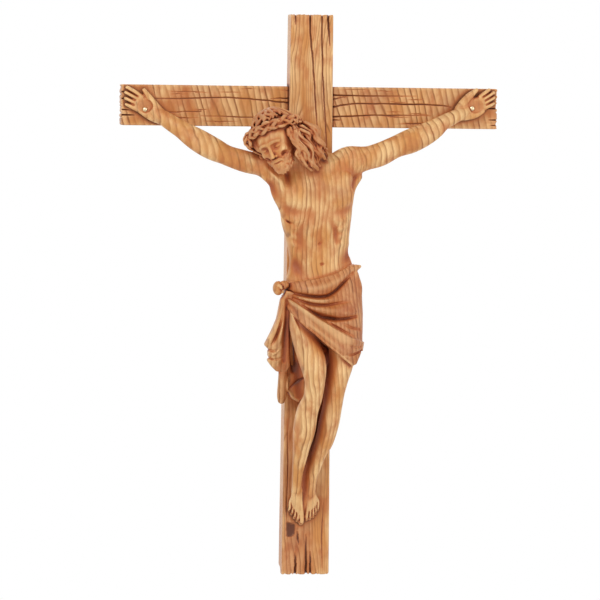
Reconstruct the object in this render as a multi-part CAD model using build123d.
from build123d import *
import os

# Carved wooden wall crucifix: a half-lapped cross, a glued-up corpus pinned through its palms and a
# D-ring let into the back. Millimetres. The origin lies on the wall plane in the middle of the
# crossing, +Z is up, +X is the viewer's right and -Y points out from the wall at the viewer.
# Left and right in names are the figure's own, so right_arm has negative X.

# Cross
CROSS_HEIGHT = 540.0
ABOVE_CROSSING = 88.5
UPRIGHT_TOP_WIDTH = 41.0
UPRIGHT_FOOT_WIDTH = 46.2
UPRIGHT_DEPTH = 24.0
CROSSBEAM_LENGTH = 365.0
CROSSBEAM_HEIGHT = 39.0
CROSSBEAM_DEPTH = 19.0
LAP_DEPTH = 12.0
EDGE_ROUND = 1.2

# Drying splits at the ends and long checks along the faces: width where they open, and depth
SPLIT_WIDTH = 3.0
SPLIT_DEPTH = 8.0
CHECK_WIDTH = 1.2
CHECK_DEPTH = 2.5

# Countersunk wood screws, flush with the back of the cross
SCREW_RADIUS = 2.0
SCREW_HEAD_RADIUS = 4.0
SCREW_HEAD_HEIGHT = 2.4
SCREW_CLEARANCE = 0.05
LAP_SCREW_SPREAD = 20.0
LAP_SCREW_COVER = 4.0
CORPUS_SCREW_BITE = 14.0
CHEST_SCREW_DROP = 98.0
PELVIS_SCREW_DROP = 182.0

# Palm pins, and how far each stands from the middle of its palm, outwards and up
PIN_RADIUS = 1.3
PIN_HEAD_RADIUS = 2.4
PIN_HEAD_HEIGHT = 1.5
PIN_SINK = 0.6
PIN_BITE = 10.0
PIN_CLEARANCE = 0.05
PALM_FROM_BEAM_END = 24.5
RIGHT_PALM_DROP = 2.5
LEFT_PALM_RISE = 1.0
PALM_THICKNESS = 7.5
RIGHT_PIN_OFFSET = (2.0, -1.8)
LEFT_PIN_OFFSET = (-1.5, -0.7)

# Wooden dowels inside the corpus
DOWEL_RADIUS = 3.0
DOWEL_LENGTH = 20.0
DOWEL_CLEARANCE = 0.05

# Bowed head that leans and turns towards the figure's right shoulder
HEAD_SIDE = -38.0
HEAD_DROP = 33.0
HEAD_AHEAD = 44.0
HEAD_BOW = 5.0
HEAD_TURN = -32.0
HEAD_LEAN = -27.0
HAIR_WIDTH = 47.0
HAIR_LENGTH = 51.0
HAIR_HEIGHT = 54.0
HAIR_BACK = 3.0
HAIR_UP = 4.0

# Crown round the hair: two ropes one above the other, worn high in front
CROWN_ROPE_RADIUS = 2.8
CROWN_ROPE_SPACING = 4.8
CROWN_RISE = 8.0
CROWN_TILT = 20.0
CROWN_BITE = 1.6
THORN_COUNT = 14
THORN_LENGTH = 4.0
THORN_RADIUS = 1.1
THORN_TIP_RADIUS = 0.3
THORN_RISE = 2.5

# Hanger let into the back of the upright, above the crossing
RECESS_WIDTH = 28.0
RECESS_DEPTH = 6.5
RECESS_ABOVE_BEAM = 5.0
RECESS_MARGIN = 1.5
PLATE_WIDTH = 12.0
PLATE_THICKNESS = 1.0
PLATE_BELOW_EYE = 28.0
EYE_WIDTH = 7.0
EYE_WALL = 0.8
RING_WIRE_RADIUS = 1.1
RING_CLEARANCE = 0.1
RING_OFF_PLATE = 0.4
RING_HALF_WIDTH = 8.0
RING_REACH = 13.0
RING_CORNER = 2.5
HANGER_SCREW_RADIUS = 1.3
HANGER_SCREW_HEAD_RADIUS = 2.4
HANGER_SCREW_HEAD_HEIGHT = 1.2
HANGER_SCREW_LENGTH = 10.0
HANGER_SCREW_DROP = 5.0
HANGER_SCREW_PITCH = 6.0

# Places worked out from the sizes above
TOP_Z = ABOVE_CROSSING
FOOT_Z = ABOVE_CROSSING - CROSS_HEIGHT
SEAT_Y = -UPRIGHT_DEPTH
BEAM_FACE_Y = -CROSSBEAM_DEPTH
BEAM_HALF = CROSSBEAM_LENGTH / 2
BEAM_TOP_Z = CROSSBEAM_HEIGHT / 2
PALM_X = BEAM_HALF - PALM_FROM_BEAM_END
RECESS_Z = BEAM_TOP_Z + RECESS_ABOVE_BEAM
RECESS_HEIGHT = PLATE_BELOW_EYE + RING_REACH + RING_WIRE_RADIUS + 2 * RECESS_MARGIN
EYE_BORE = RING_WIRE_RADIUS + RING_CLEARANCE
EYE_OUTER = EYE_BORE + EYE_WALL
EYE_Y = -RECESS_DEPTH + PLATE_THICKNESS + RING_OFF_PLATE + RING_WIRE_RADIUS
EYE_Z = RECESS_Z + RECESS_MARGIN + PLATE_BELOW_EYE
FAR = 4 * CROSS_HEIGHT
DEPTH_AXIS = Vector(0, 1, 0)
FORWARDS = (0, -1, 0)
SLANT = 0.5**0.5

# Rounded end of a finger, toe or lock: distance past the end and radius, as shares of the end's radius
ROUND_END = [(0.5, 0.87), (0.87, 0.5)]

# End splits of the upright: place across, length. Its long checks: place across, drift, length
TOP_SPLITS = [(-2.0, 16), (15.6, 14)]
FOOT_SPLITS = [(-9.9, 22), (0.6, 38), (4.4, 24)]
TOP_CHECKS = [(-2.0, 8.5, 112), (9.4, 5.5, 124)]

# Checks of the crossbeam, out from the crossing: side, height, rise, length
BEAM_CHECKS = [(-1, 3.5, 2, 128), (1, 12, -1.5, 118), (1, 1, 3, 116), (1, -9, 2.5, 96)]

# Torso stations: height, side, distance ahead of the upright, half width, half depth
TORSO = [
    (-44, 0, 21, 17, 11),
    (-52, 0, 21, 29, 16),
    (-64, 0, 21, 38, 20),
    (-80, 1, 22, 37, 22),
    (-97, 2.6, 23, 35, 22.5),
    (-112, 3.2, 22, 33, 21),
    (-128, 5.4, 19, 30, 19),
    (-143, 8, 18, 29.6, 18),
    (-158, 9, 18, 32, 18.5),
    (-174, 9, 20, 36, 20),
    (-192, 10, 21, 37, 20),
    (-208, 11, 22, 34, 16),
]

# Wrapped cloth, as for the torso, and its slanting waist edge and hem: side, height
CLOTH = [
    (-148, 8, 17, 33, 21),
    (-168, 9.5, 20, 39, 24.5),
    (-190, 10.5, 24, 39.5, 29),
    (-210, 12, 26, 38, 32),
    (-230, 13, 28, 36, 34),
    (-254, 14, 27, 34, 33),
]
CLOTH_TOP = [(-60, -170), (-5, -164.6), (20, -159), (42, -151), (60, -151)]
CLOTH_HEM = [(-60, -174), (-28, -188), (-13, -211), (7, -222), (36, -246), (60, -246)]

# Leg stations: side, distance ahead of the upright, height, half width, half depth
RIGHT_LEG = [
    (-8, 23, -190, 17, 16),
    (-8, 40, -214, 14.6, 14.2),
    (-3.4, 47, -235, 13.7, 13.2),
    (0, 52, -252, 12.2, 11.6),
    (0.4, 52, -263, 11, 10.6),
    (-1, 49, -276, 10.2, 9.8),
    (-5.4, 44, -289, 11, 10.8),
    (-7.4, 39, -307, 11.8, 11.4),
    (-9.4, 33, -325, 8.8, 8.6),
    (-12, 25, -347, 6, 5.8),
    (-12.6, 19, -366, 5.2, 5),
    (-12.8, 14.5, -380, 7, 5.2),
    (-12.4, 10, -391, 8.3, 4.4),
]
LEFT_LEG = [
    (26, 22, -192, 17, 15),
    (27, 32, -216, 15.2, 14.6),
    (26, 38, -238, 14, 13.4),
    (20.8, 40, -259, 12.4, 12),
    (19, 38, -273, 11.2, 10.8),
    (17.2, 34, -288, 11.2, 10.8),
    (15.2, 31, -301, 11.5, 11),
    (12, 26, -318, 10.6, 10),
    (7, 21, -333, 8.6, 8),
    (3.2, 15.5, -356, 5.8, 5.4),
    (2, 12, -371, 5.2, 4.8),
    (2.8, 9.5, -382, 6.4, 4.6),
    (3.8, 7.5, -390, 6.8, 4),
]

# Balls of the feet, and toes from the big toe outwards: tip side, tip height, radius
RIGHT_BALL = (-11, 10, -388)
RIGHT_TOES = [
    (-5.2, -400.2, 2.7),
    (-8.6, -398, 2.2),
    (-11.4, -395.1, 2.1),
    (-14, -391.6, 2),
    (-16.4, -388, 1.9),
]
LEFT_BALL = (3.4, 7.5, -387)
LEFT_TOES = [
    (-0.6, -396.9, 2.4),
    (2.8, -396, 2.1),
    (5.8, -394.2, 2),
    (8.2, -391.3, 1.9),
    (10.2, -387.8, 1.8),
]
TOES_AHEAD = 6.0
TOE_ROOT_SHARE = 0.5

# Neck: root on the shoulders, top in the head's frame, half width and depth at root, middle and top
NECK_ROOT = (0, 21, -58)
NECK_TOP = (0, 7, -13)
NECK_HALVES = [(15, 14), (11.5, 11), (10.5, 10)]

# Arm stations: share of the way from shoulder to palm, sag below that line, half thickness, half depth
RIGHT_SHOULDER = (-30, 22, -56)
RIGHT_ARM = [
    (-0.14, 2, 13, 12),
    (0.0, 0, 16, 14.5),
    (0.11, 5, 12, 11.6),
    (0.26, 11.4, 10, 9.8),
    (0.38, 13.4, 9.2, 9),
    (0.5, 11.8, 10.4, 10.2),
    (0.62, 9.2, 10, 9.6),
    (0.75, 6.8, 8.8, 8),
    (0.88, 3, 8.2, 6),
    (1.0, 0, 9.6, 3.75),
    (1.07, -1.5, 9, 3.2),
]
LEFT_SHOULDER = (30, 22, -53.4)
LEFT_ARM = [
    (-0.14, 2, 13, 12),
    (0.0, 0, 14.6, 14),
    (0.11, 2.4, 11.6, 11.2),
    (0.26, 5.8, 11.2, 11),
    (0.38, 4.8, 10.5, 10.3),
    (0.5, 5, 11.6, 11),
    (0.64, 3.2, 9.2, 8.8),
    (0.77, 1.4, 7.6, 6.8),
    (0.88, 0.4, 7, 5.4),
    (1.0, 0, 9.6, 3.75),
    (1.07, -1.5, 9, 3.2),
]

JOINT_STATION = 2

# Thumb and fingers, from the palm pin outwards and up: base, tip, radius
RIGHT_FINGERS = [
    ((-8, 3.5), (3, 16.6), 3),
    ((5.5, 11), (18.8, 19), 2.7),
    ((7, 7), (20, 14.3), 2.7),
    ((8.8, 3), (20, 8.7), 2.6),
    ((10.6, -1), (19.4, 3), 2.4),
]
LEFT_FINGERS = [
    ((-7.5, 5), (3.4, 16.8), 3),
    ((7.4, 11.6), (15.6, 17.2), 2.7),
    ((9.2, 8), (20, 14.6), 2.7),
    ((10.4, 4), (20.4, 10), 2.6),
    ((11.4, 0.4), (20, 4.4), 2.4),
]
FINGER_ROOT_AHEAD = 3.6
FINGER_TAPER = 0.85

# Face, beard, nose and locks in the head's own frame; nose and locks as points and radii
FACE_CENTRE = (0, -8, -4)
FACE_HALF = (14, 15.5, 20)
BEARD_CENTRE = (0, -13, -19)
BEARD_HALF = (9, 8, 9)
NOSE = ([(0, -21.6, 0), (0, -24, -7)], [2, 2.4])
LOCKS = [
    ([(17, 3, -4), (20, 3, -22), (23, 2, -38)], [8, 8, 5]),
    ([(12, 14, 2), (24, 16, -10), (31, 12, -32)], [9, 9, 6]),
    ([(-18, 0, -2), (-17, -3, -16)], [7, 5]),
]

# Knot and hanging end of the cloth, stations as for the torso
KNOT = (-32, 32, -172)
KNOT_HALF = (7.5, 7, 6.5)
TAIL = [
    (-176, -29.4, 30, 4.6, 4.2),
    (-186, -27.6, 29, 5.6, 5.2),
    (-204, -28.4, 27, 7.4, 6),
    (-226, -33.2, 23, 12, 6.6),
    (-238, -32.8, 21, 11.4, 6.4),
    (-250, -29, 18, 7.4, 6),
    (-264, -28.6, 16, 5.4, 5.2),
    (-277, -28.6, 13, 5.2, 5),
    (-284, -28.6, 12, 3.4, 3.2),
]
FLAP = [
    (-236, -24, 17, 6, 4.4),
    (-256, -17, 15.5, 8, 4),
    (-272, -13.5, 12, 7.4, 3.6),
    (-283, -12.5, 10, 4, 3),
]


def ahead(distance):
    """Y of a point that stands this far in front of the upright."""
    return SEAT_Y - distance


def block(low, high):
    """A box between two corners."""
    size = [high[i] - low[i] for i in range(3)]
    middle = [(high[i] + low[i]) / 2 for i in range(3)]
    return Pos(*middle) * Box(*size)


def turned(points):
    """A solid turned about Z from half of its outline."""
    return revolve(Plane.XZ * make_face(Polyline(*points, close=True)), Axis.Z)


def ellipsoid(half_sizes):
    return scale(Sphere(1), by=half_sizes)


def level_loft(stations):
    """A form lofted through level ellipses."""
    sections = []
    for height, side, distance, half_width, half_depth in stations:
        sections.append(Pos(side, ahead(distance), height) * Ellipse(half_width, half_depth))
    return loft(sections)


def limb(centres, halves, ruled=False):
    """A limb lofted through ellipses that stand square to its run."""
    points = [Vector(*centre) for centre in centres]
    last = len(points) - 1
    sections = []
    for i, (half_width, half_depth) in enumerate(halves):
        run = points[min(i + 1, last)] - points[max(i - 1, 0)]
        station = Plane(origin=points[i], x_dir=DEPTH_AXIS.cross(run), z_dir=run)
        sections.append(station * Ellipse(half_width, half_depth))
    return loft(sections, ruled=ruled)


def rod(points, radii):
    """A rod through some points, with a rounded far end."""
    centres = [Vector(*point) for point in points]
    end, end_radius = centres[-1], radii[-1]
    along = (end - centres[-2]).normalized() * end_radius
    centres += [end + along * share for share, _ in ROUND_END]
    rounded = list(radii) + [end_radius * share for _, share in ROUND_END]
    return limb(centres, [(radius, radius) for radius in rounded], ruled=True)


def screw(x, z, length, clearance=0.0):
    """A countersunk screw driven forwards from the wall plane."""
    radius = SCREW_RADIUS + clearance
    head = SCREW_HEAD_RADIUS + clearance
    tip = length + clearance
    outline = [(0, 0), (head, 0), (radius, SCREW_HEAD_HEIGHT), (radius, length - radius), (0, tip)]
    return Plane(origin=(x, 0, z), z_dir=FORWARDS) * turned(outline)


def dowel(plane, clearance=0.0):
    """A dowel that lies half on each side of a joint plane."""
    return plane * Cylinder(DOWEL_RADIUS + clearance, DOWEL_LENGTH + 2 * clearance)


# Cross


def drying_split(start, end, width, face_y, depth):
    """A wedge-shaped split, widest at its start, cut into the face at face_y."""
    along = (Vector(*end) - Vector(*start)).normalized()
    side = Vector(-along.Y, along.X) * (width / 2)
    corners = [Vector(*start) + side, Vector(*start) - side, Vector(*end)]
    triangle = make_face(Polyline(*[(corner.X, corner.Y) for corner in corners], close=True))
    return Pos(0, face_y + depth, 0) * extrude(Plane.XZ * triangle, amount=2 * depth)


def upright_blank():
    """The tapered post with its lap notch, before any hole is cut."""
    half_top, half_foot = UPRIGHT_TOP_WIDTH / 2, UPRIGHT_FOOT_WIDTH / 2
    corners = [(-half_top, TOP_Z), (half_top, TOP_Z), (half_foot, FOOT_Z), (-half_foot, FOOT_Z)]
    face = make_face(Polyline(*corners, close=True))
    post = extrude(Plane.XZ * face, amount=UPRIGHT_DEPTH)
    post = fillet(post.faces().sort_by(Axis.Y)[0].edges(), EDGE_ROUND)
    return post - block((-FAR, -LAP_DEPTH, -BEAM_TOP_Z), (FAR, FAR, BEAM_TOP_Z))


def crossbeam_blank():
    bar = block((-BEAM_HALF, BEAM_FACE_Y, -BEAM_TOP_Z), (BEAM_HALF, 0, BEAM_TOP_Z))
    return fillet(bar.faces().sort_by(Axis.Y)[0].edges(), EDGE_ROUND)


def upright_splits():
    """End splits and long checks of the post."""
    cuts = []
    for x, length in TOP_SPLITS:
        start, end = (x, TOP_Z + 1), (x + 1, TOP_Z - length)
        cuts.append(drying_split(start, end, SPLIT_WIDTH, SEAT_Y, SPLIT_DEPTH))
    for x, length in FOOT_SPLITS:
        start, end = (x, FOOT_Z - 1), (x, FOOT_Z + length)
        cuts.append(drying_split(start, end, SPLIT_WIDTH, SEAT_Y, SPLIT_DEPTH))
    for x, drift, length in TOP_CHECKS:
        start, end = (x, TOP_Z + 1), (x + drift, TOP_Z - length)
        cuts.append(drying_split(start, end, CHECK_WIDTH, SEAT_Y, CHECK_DEPTH))
    return cuts


def crossbeam_checks():
    """Long checks that run out from the crossing along both arms of the bar."""
    cuts = []
    for side, height, rise, length in BEAM_CHECKS:
        root = side * UPRIGHT_TOP_WIDTH / 2
        start, end = (root, height), (root + side * length, height + rise)
        cuts.append(drying_split(start, end, CHECK_WIDTH, BEAM_FACE_Y, CHECK_DEPTH))
    return cuts


# Hanger


def hanger_plate():
    """A flat strip with a rolled eye at its top and two screw holes."""
    strip = block(
        (-PLATE_WIDTH / 2, -RECESS_DEPTH, EYE_Z - PLATE_BELOW_EYE),
        (PLATE_WIDTH / 2, -RECESS_DEPTH + PLATE_THICKNESS, EYE_Z - EYE_OUTER),
    )
    tab = block(
        (-EYE_WIDTH / 2, -RECESS_DEPTH, EYE_Z - EYE_OUTER),
        (EYE_WIDTH / 2, EYE_Y - EYE_BORE, EYE_Z),
    )
    eye = Pos(0, EYE_Y, EYE_Z) * Rot(Y=90) * Cylinder(EYE_OUTER, EYE_WIDTH)
    bore = Pos(0, EYE_Y, EYE_Z) * Rot(Y=90) * Cylinder(EYE_BORE, FAR)
    return strip + tab + eye - bore - hanger_screws(SCREW_CLEARANCE)


def hanger_ring():
    """A D-shaped wire ring: a straight bar in the eye, two short legs and a half circle."""
    leg_end = RING_HALF_WIDTH - RING_REACH
    corner = RING_CORNER * (1 - SLANT)
    half = RING_HALF_WIDTH
    path = Wire(
        [
            Line((-half + RING_CORNER, 0), (half - RING_CORNER, 0)).edge(),
            ThreePointArc((half - RING_CORNER, 0), (half - corner, -corner), (half, -RING_CORNER)).edge(),
            Line((half, -RING_CORNER), (half, leg_end)).edge(),
            ThreePointArc((half, leg_end), (0, -RING_REACH), (-half, leg_end)).edge(),
            Line((-half, leg_end), (-half, -RING_CORNER)).edge(),
            ThreePointArc((-half, -RING_CORNER), (-half + corner, -corner), (-half + RING_CORNER, 0)).edge(),
        ]
    )
    wire = Plane(origin=(-half + RING_CORNER, 0, 0), z_dir=(1, 0, 0)) * Circle(RING_WIRE_RADIUS)
    ring = sweep(wire, path=path)
    return Pos(0, EYE_Y, EYE_Z) * Rot(X=90) * ring


def hanger_screws(clearance=0.0):
    """Two pan-head screws driven forwards through the strip."""
    radius = HANGER_SCREW_RADIUS + clearance
    head = HANGER_SCREW_HEAD_RADIUS
    tip = HANGER_SCREW_LENGTH + clearance
    outline = [(0, -HANGER_SCREW_HEAD_HEIGHT), (head, -HANGER_SCREW_HEAD_HEIGHT), (head, 0), (radius, 0)]
    outline += [(radius, HANGER_SCREW_LENGTH - radius), (0, tip)]
    screws = []
    for i in range(2):
        height = EYE_Z - RING_REACH - HANGER_SCREW_DROP - i * HANGER_SCREW_PITCH
        place = Plane(origin=(0, -RECESS_DEPTH + PLATE_THICKNESS, height), z_dir=FORWARDS)
        screws.append(place * turned(outline))
    return screws


# Corpus


def toes(ball, tips):
    """Toes that fan out from the ball of a foot."""
    side, distance, height = ball
    rods = []
    for tip_side, tip_height, radius in tips:
        start_side = side + TOE_ROOT_SHARE * (tip_side - side)
        start_height = height + TOE_ROOT_SHARE * (tip_height - height)
        start = (start_side, ahead(distance), start_height)
        tip = (tip_side, ahead(TOES_AHEAD), tip_height)
        rods.append(rod([start, tip], [radius, radius]))
    return rods


def leg(stations):
    centres = [(side, ahead(distance), height) for side, distance, height, _, _ in stations]
    return limb(centres, [station[3:] for station in stations])


def cloth():
    """The wrapped loincloth, with a slanting waist edge and a slanting hem."""
    wrap = level_loft(CLOTH)
    for edge, beyond in ((CLOTH_TOP, FAR), (CLOTH_HEM, -FAR)):
        outline = Polyline(*edge, (edge[-1][0], beyond), (edge[0][0], beyond), close=True)
        wrap -= extrude(Plane.XZ * make_face(outline), amount=FAR, both=True)
    return wrap


def arm_centres(side, shoulder, palm_z, stations):
    """Centre points of an arm that sags between its shoulder and its palm."""
    x0, distance, z0 = shoulder
    y0, palm_y = ahead(distance), BEAM_FACE_Y - PALM_THICKNESS / 2
    centres = []
    for share, sag, _, _ in stations:
        x = x0 + share * (side * PALM_X - x0)
        y = y0 + max(share, 0) ** 2 * (palm_y - y0)
        z = z0 + share * (palm_z - z0) - sag
        centres.append((x, min(y, palm_y), z))
    return centres


def fingers(side, palm_z, rows):
    """Fingers that lie on the crossbeam, from the palm pin outwards."""
    rods = []
    for (out, up), (tip_out, tip_up), radius in rows:
        base = (side * (PALM_X + out), BEAM_FACE_Y - FINGER_ROOT_AHEAD, palm_z + up)
        tip = (side * (PALM_X + tip_out), BEAM_FACE_Y - radius, palm_z + tip_up)
        rods.append(rod([base, tip], [radius, radius * FINGER_TAPER]))
    return rods


def palm_pin(side, palm_z, offset, clearance=0.0):
    """A domed pin through the palm into the crossbeam, with its head let in a little."""
    out, up = offset
    head_off = PALM_THICKNESS - PIN_SINK
    length = head_off + PIN_BITE
    radius = PIN_RADIUS + clearance
    shank = [(0, -length - clearance), (radius, -length + PIN_RADIUS), (radius, 0), (0, 0)]
    dome = ellipsoid((PIN_HEAD_RADIUS, PIN_HEAD_RADIUS, PIN_HEAD_HEIGHT))
    dome -= block((-FAR, -FAR, -FAR), (FAR, FAR, 0))
    head_at = (side * (PALM_X + out), BEAM_FACE_Y - head_off, palm_z + up)
    place = Plane(origin=head_at, z_dir=FORWARDS)
    return place * (turned(shank) + dome)


def head_form():
    """Skull with hair, a plain face, beard and locks, in the head's own frame."""
    hair = Pos(0, HAIR_BACK, HAIR_UP) * ellipsoid((HAIR_WIDTH / 2, HAIR_LENGTH / 2, HAIR_HEIGHT / 2))
    face = Pos(*FACE_CENTRE) * ellipsoid(FACE_HALF)
    beard = Pos(*BEARD_CENTRE) * ellipsoid(BEARD_HALF)
    return join(hair, [face, beard, rod(*NOSE)] + [rod(*lock) for lock in LOCKS])


def crown():
    """Two ropes round the hair, with thorns that point outwards and up or down by turns."""
    share = (1 - (CROWN_RISE / (HAIR_HEIGHT / 2)) ** 2) ** 0.5
    radius = (HAIR_WIDTH + HAIR_LENGTH) / 4 * share + CROWN_ROPE_RADIUS - CROWN_BITE
    rope = Torus(radius, CROWN_ROPE_RADIUS)
    upper, lower = (Pos(0, 0, up * CROWN_ROPE_SPACING / 2) * rope for up in (1, -1))
    thorns = []
    for i in range(THORN_COUNT):
        around = Vector(1, 0).rotate(Axis.Z, (i + 0.5) * 360 / THORN_COUNT)
        root = around * radius
        rise = THORN_RISE if i % 2 else -THORN_RISE
        tip = root + around * (CROWN_ROPE_RADIUS + THORN_LENGTH) + Vector(0, 0, rise)
        halves = [THORN_RADIUS, (THORN_RADIUS + THORN_TIP_RADIUS) / 2, THORN_TIP_RADIUS]
        thorns.append(limb([root, (root + tip) / 2, tip], [(half, half) for half in halves]))
    worn = Pos(0, HAIR_BACK, HAIR_UP) * Rot(X=-CROWN_TILT) * Pos(0, 0, CROWN_RISE)
    return worn * join(upper, [lower] + thorns)


def join(first, others):
    return first + list(others)


def cut(solid, tools):
    return solid - list(tools)


# Build

os.makedirs("parts", exist_ok=True)

behind_upright = block((-FAR, SEAT_Y, -FAR), (FAR, FAR, FAR))
behind_beam = block((-FAR, BEAM_FACE_Y, -FAR), (FAR, FAR, FAR))
recess = block(
    (-RECESS_WIDTH / 2, -RECESS_DEPTH, RECESS_Z),
    (RECESS_WIDTH / 2, FAR, RECESS_Z + RECESS_HEIGHT),
)

lap_length = UPRIGHT_DEPTH - LAP_SCREW_COVER
corpus_length = UPRIGHT_DEPTH + CORPUS_SCREW_BITE
lap_spots = [(side * LAP_SCREW_SPREAD / 2, 0) for side in (-1, 1)]
corpus_spots = [(0, -CHEST_SCREW_DROP), (0, -PELVIS_SCREW_DROP)]
lap_screws = [screw(x, z, lap_length) for x, z in lap_spots]
corpus_screws = [screw(x, z, corpus_length) for x, z in corpus_spots]
lap_holes = [screw(x, z, lap_length, SCREW_CLEARANCE) for x, z in lap_spots]
corpus_holes = [screw(x, z, corpus_length, SCREW_CLEARANCE) for x, z in corpus_spots]

post = upright_blank()
crossbeam = crossbeam_blank() - post
screw_holes = lap_holes + corpus_holes + hanger_screws(SCREW_CLEARANCE)
upright_beam = cut(post, [recess] + screw_holes + upright_splits())

palms = {-1: -RIGHT_PALM_DROP, 1: LEFT_PALM_RISE}
offsets = {-1: RIGHT_PIN_OFFSET, 1: LEFT_PIN_OFFSET}
palm_pins = [palm_pin(side, palms[side], offsets[side]) for side in (-1, 1)]
pin_holes = [palm_pin(side, palms[side], offsets[side], PIN_CLEARANCE) for side in (-1, 1)]
crossbeam = cut(crossbeam, lap_holes + pin_holes + crossbeam_checks())

shoulder_dowels, shoulder_holes, arms, shoulder_roots = [], [], [], []
for side, shoulder, stations, digits in [
    (-1, RIGHT_SHOULDER, RIGHT_ARM, RIGHT_FINGERS),
    (1, LEFT_SHOULDER, LEFT_ARM, LEFT_FINGERS),
]:
    centres = arm_centres(side, shoulder, palms[side], stations)
    whole = limb(centres, [station[2:] for station in stations])
    joint_at, beyond = Vector(*centres[JOINT_STATION]), Vector(*centres[JOINT_STATION + 1])
    joint = Plane(origin=joint_at, z_dir=beyond - joint_at)
    shoulder_roots.append(split(whole, bisect_by=joint, keep=Keep.BOTTOM))
    outer = split(whole, bisect_by=joint, keep=Keep.TOP)
    outer = join(outer, fingers(side, palms[side], digits))
    hole = dowel(joint, DOWEL_CLEARANCE)
    shoulder_dowels.append(dowel(joint))
    shoulder_holes.append(hole)
    arms.append(cut(outer, [behind_beam, hole] + pin_holes))

head_tilt = Rot(Y=HEAD_LEAN) * Rot(Z=HEAD_TURN) * Rot(X=HEAD_BOW)
head_place = Pos(HEAD_SIDE, ahead(HEAD_AHEAD), -HEAD_DROP) * head_tilt
skull_base = (head_place * Pos(*NECK_TOP)).position
neck_root = Vector(NECK_ROOT[0], ahead(NECK_ROOT[1]), NECK_ROOT[2])
neck_middle = (neck_root + skull_base) / 2
neck = limb([neck_root, neck_middle, skull_base], NECK_HALVES)
neck_joint = Plane(origin=skull_base, z_dir=skull_base - neck_root)

trunk = join(level_loft(TORSO), [neck, leg(RIGHT_LEG), leg(LEFT_LEG), cloth()] + shoulder_roots)
trunk = join(trunk, toes(RIGHT_BALL, RIGHT_TOES) + toes(LEFT_BALL, LEFT_TOES))
neck_hole = dowel(neck_joint, DOWEL_CLEARANCE)
trunk = cut(trunk, [behind_upright, neck_hole] + shoulder_holes + corpus_holes)

crown_of_thorns = head_place * crown()
corpus_head = cut(head_place * head_form(), [crown_of_thorns, trunk, neck_hole] + arms)

loincloth_tail = Pos(KNOT[0], ahead(KNOT[1]), KNOT[2]) * ellipsoid(KNOT_HALF)
loincloth_tail = join(loincloth_tail, [level_loft(TAIL), level_loft(FLAP)])
loincloth_tail = cut(loincloth_tail, [trunk, behind_upright])

nodes = {
    "upright_beam": [upright_beam],
    "crossbeam": [crossbeam],
    "lap_screws": lap_screws,
    "corpus_trunk": [trunk],
    "corpus_head": [corpus_head],
    "crown_of_thorns": [crown_of_thorns],
    "right_arm": [arms[0]],
    "left_arm": [arms[1]],
    "shoulder_dowels": shoulder_dowels,
    "neck_dowel": [dowel(neck_joint)],
    "loincloth_tail": [loincloth_tail],
    "palm_pins": palm_pins,
    "corpus_screws": corpus_screws,
    "hanger_plate": [hanger_plate()],
    "hanger_ring": [hanger_ring()],
    "hanger_screws": hanger_screws(),
}
for name, shapes in nodes.items():
    solids = [solid for shape in shapes for solid in shape.solids()]
    export_step(Compound(children=solids), f"parts/{name}.step")
